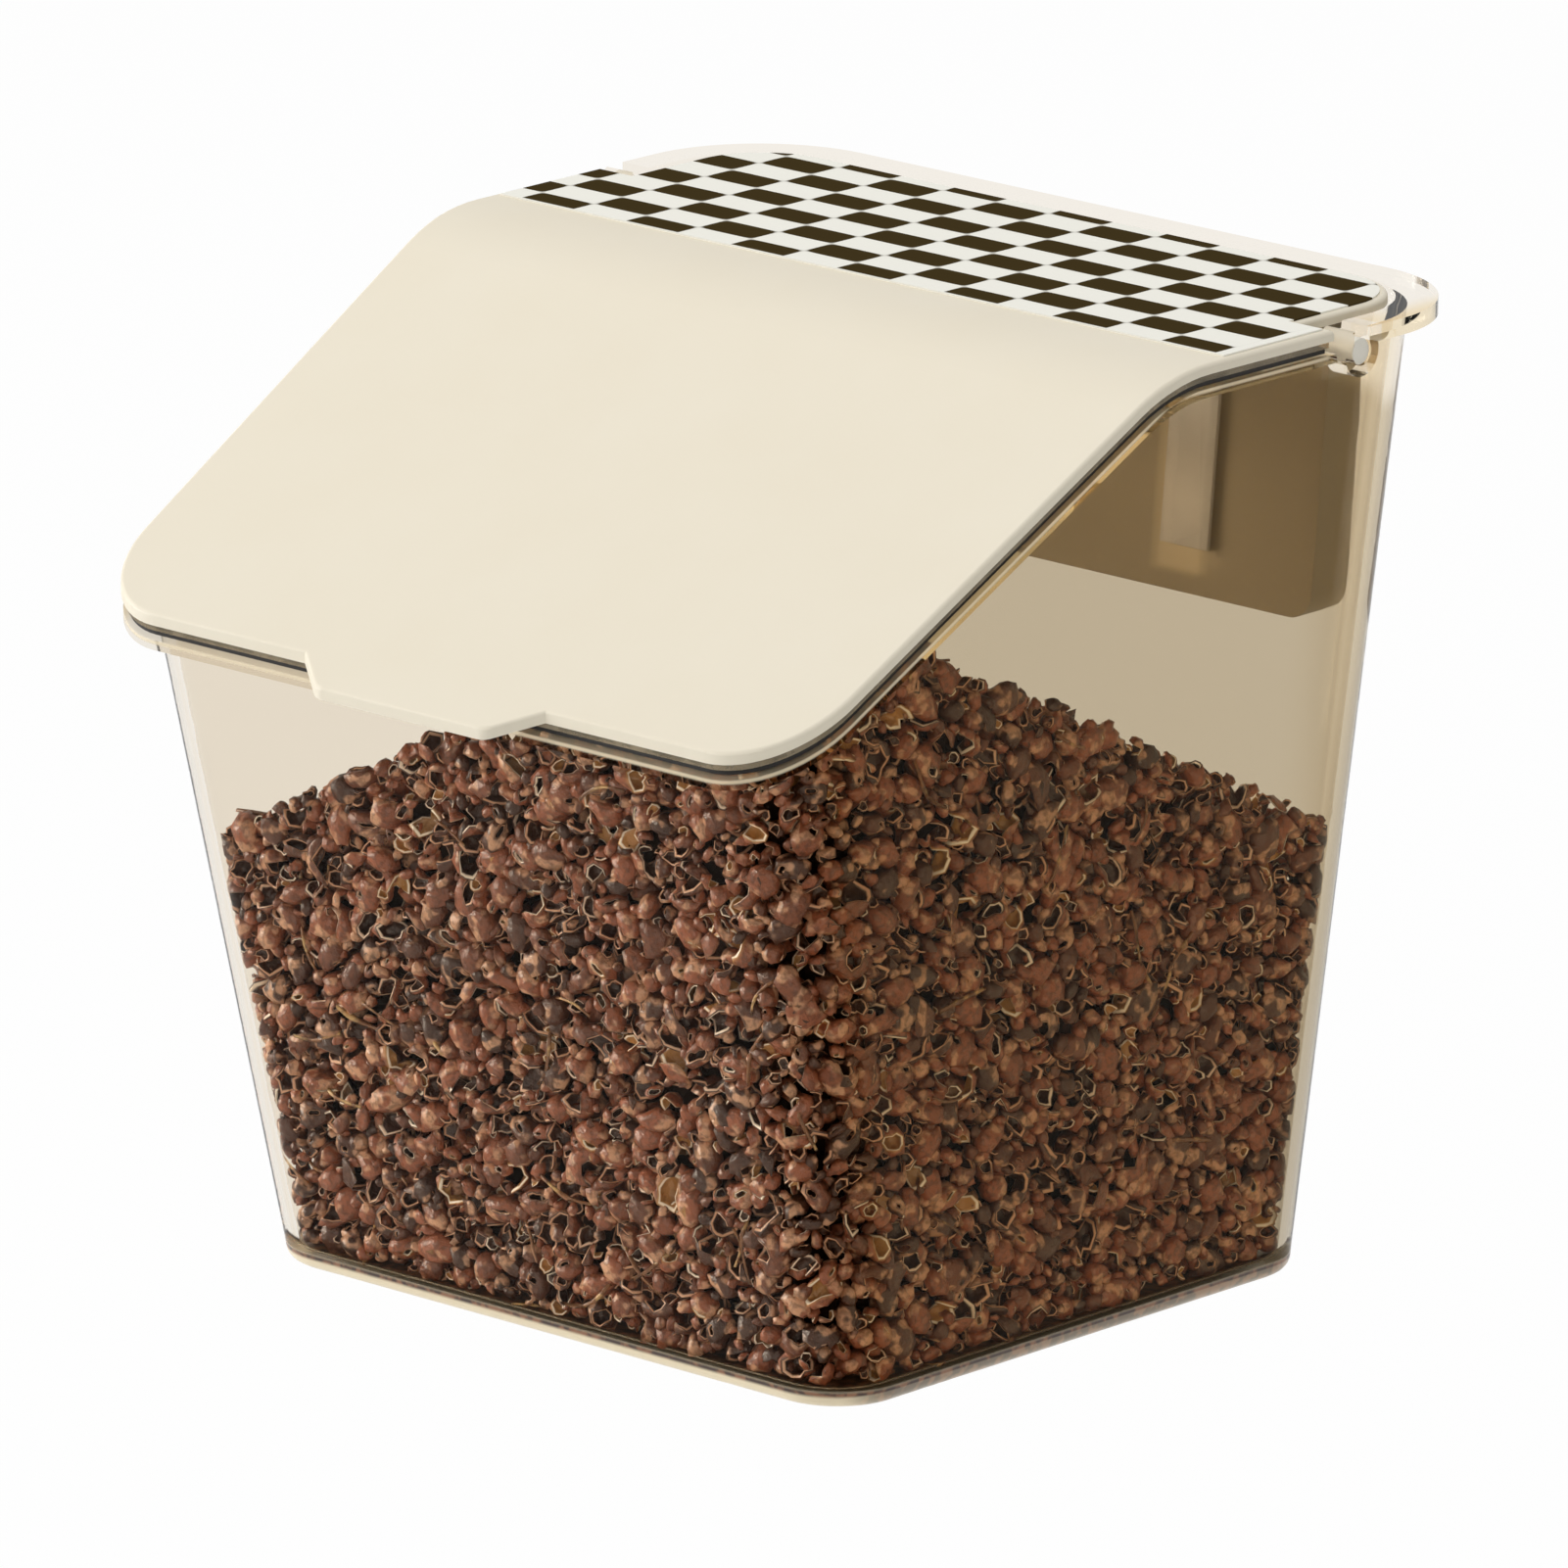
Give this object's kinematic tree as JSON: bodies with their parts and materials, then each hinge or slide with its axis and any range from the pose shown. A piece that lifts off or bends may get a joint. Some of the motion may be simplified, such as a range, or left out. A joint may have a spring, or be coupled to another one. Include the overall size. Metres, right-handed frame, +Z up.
{
  "type": "wall-mounted spice box",
  "caption": "Clear tapered spice box with a bent flip-up lid, hung by rear hangers on an adhesive wall plate and filled with peppercorn husks.",
  "frame": {"origin": "centre of the adhesive pad's face that sticks to the wall", "axes": "+Z up, +Y into the wall, -Y out of the wall towards the user, +X to the user's right; the lid is shut and the box hangs on its plate"},
  "size_m": [0.112, 0.1212, 0.1124],
  "materials": {
    "clear_shell": "clear moulded plastic with a faint amber tint, polished",
    "clear_frame": "clear moulded plastic, polished",
    "lid_cream": "smooth satin moulded plastic, cream",
    "film_print": "satin film, white with dark brown checks about 8 mm by 4.6 mm",
    "seal_black": "matt black soft seal",
    "pin_pale": "smooth pale plastic pin",
    "plate_brown": "tan fine-grained moulded plastic, which looks dark brown through the amber rear wall",
    "pad_foam": "white double-sided adhesive foam",
    "husk": "dry wrinkled peppercorn husks, reddish brown with tan rims"
  },
  "bodies": {
    "wall_mount": {"wall_plate": "plate_brown", "adhesive_pad": "pad_foam"},
    "box": {"box_shell": "clear_shell", "hanger_left": "clear_shell", "hanger_right": "clear_shell", "spice_fill": "husk"},
    "lid": {"lid_cover": "lid_cream", "checker_film": "film_print", "lid_frame": "clear_frame", "lid_seal": "seal_black", "hinge_pin_left": "pin_pale", "hinge_pin_right": "pin_pale"}
  },
  "joints": [
    {"name": "box_lift", "type": "slide", "parent": "wall_mount", "child": "box", "axis": [0, 0, 1], "range_m": [0, 0.03]},
    {"name": "lid_hinge", "type": "hinge", "parent": "box", "child": "lid", "pos_m": [0, -0.02649, 0.02205], "axis": [-1, 0, 0], "range_deg": [0, 105]}
  ]
}
